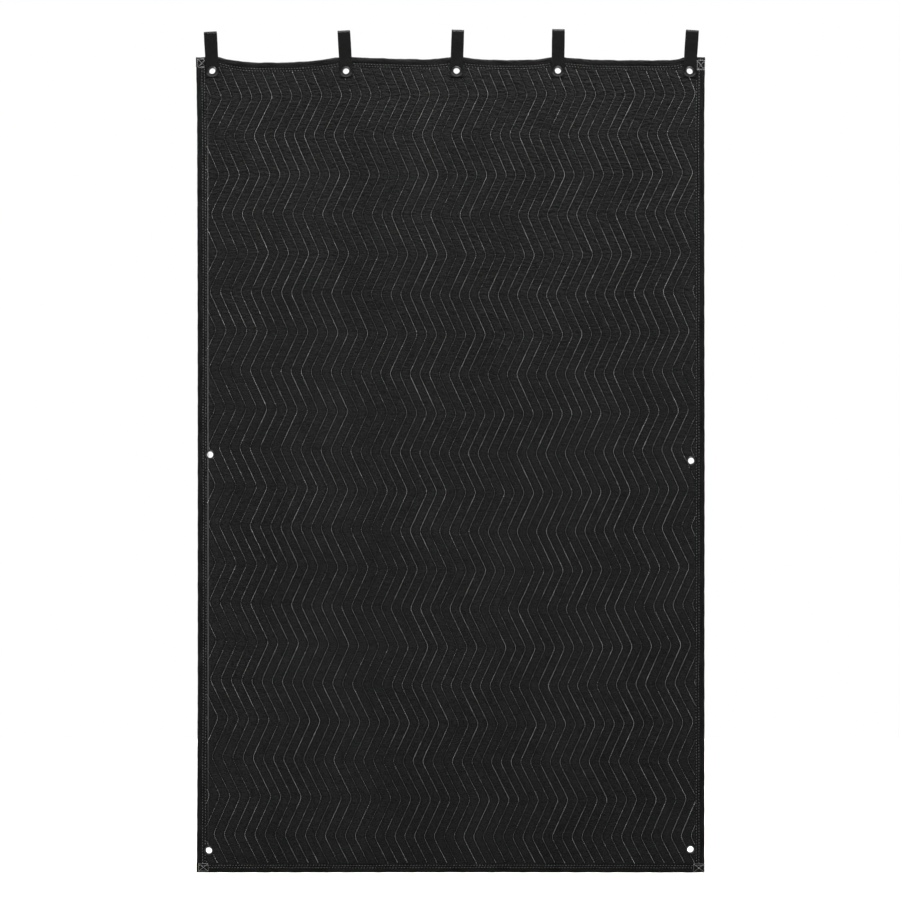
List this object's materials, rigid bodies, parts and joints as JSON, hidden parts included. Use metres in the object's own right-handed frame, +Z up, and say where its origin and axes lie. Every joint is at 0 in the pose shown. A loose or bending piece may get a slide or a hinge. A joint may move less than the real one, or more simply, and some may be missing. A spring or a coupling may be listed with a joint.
{
  "type": "acoustic curtain",
  "caption": "Hanging acoustic curtain: a heavy black quilted panel with bound edges, webbing loops along its scalloped top, and eyelets through the loops, at the sides and lower corners.",
  "frame": {"origin": "middle of the top edge, level with the highest loop's crown and halfway through the cloth", "axes": "+Z up along the drop, -Y out of the front face, +X to the right as seen from the front"},
  "size_m": [1.5267, 0.019, 2.5293],
  "materials": {
    "quilted_cloth": "matt black plain-weave cloth over wadding, quilted with light grey thread",
    "binding": "smooth black bias tape, faint sheen",
    "webbing": "black ribbed webbing, matt",
    "eyelet": "gloss black lacquered brass"
  },
  "bodies": {
    "root": {"quilted_panel": "quilted_cloth", "side_strip_left": "quilted_cloth", "side_strip_right": "quilted_cloth", "heading_strip_1": "quilted_cloth", "heading_strip_2": "quilted_cloth", "heading_strip_3": "quilted_cloth", "heading_strip_4": "quilted_cloth", "heading_strip_5": "quilted_cloth", "binding_top": "binding", "binding_bottom": "binding", "binding_left": "binding", "binding_right": "binding", "tab_1": "webbing", "tab_2": "webbing", "tab_3": "webbing", "tab_4": "webbing", "tab_5": "webbing", "eyelet_tab_1": "eyelet", "washer_tab_1": "eyelet", "eyelet_tab_2": "eyelet", "washer_tab_2": "eyelet", "eyelet_tab_3": "eyelet", "washer_tab_3": "eyelet", "eyelet_tab_4": "eyelet", "washer_tab_4": "eyelet", "eyelet_tab_5": "eyelet", "washer_tab_5": "eyelet", "eyelet_middle_left": "eyelet", "washer_middle_left": "eyelet", "eyelet_middle_right": "eyelet", "washer_middle_right": "eyelet", "eyelet_bottom_left": "eyelet", "washer_bottom_left": "eyelet", "eyelet_bottom_right": "eyelet", "washer_bottom_right": "eyelet"}
  },
  "joints": []
}
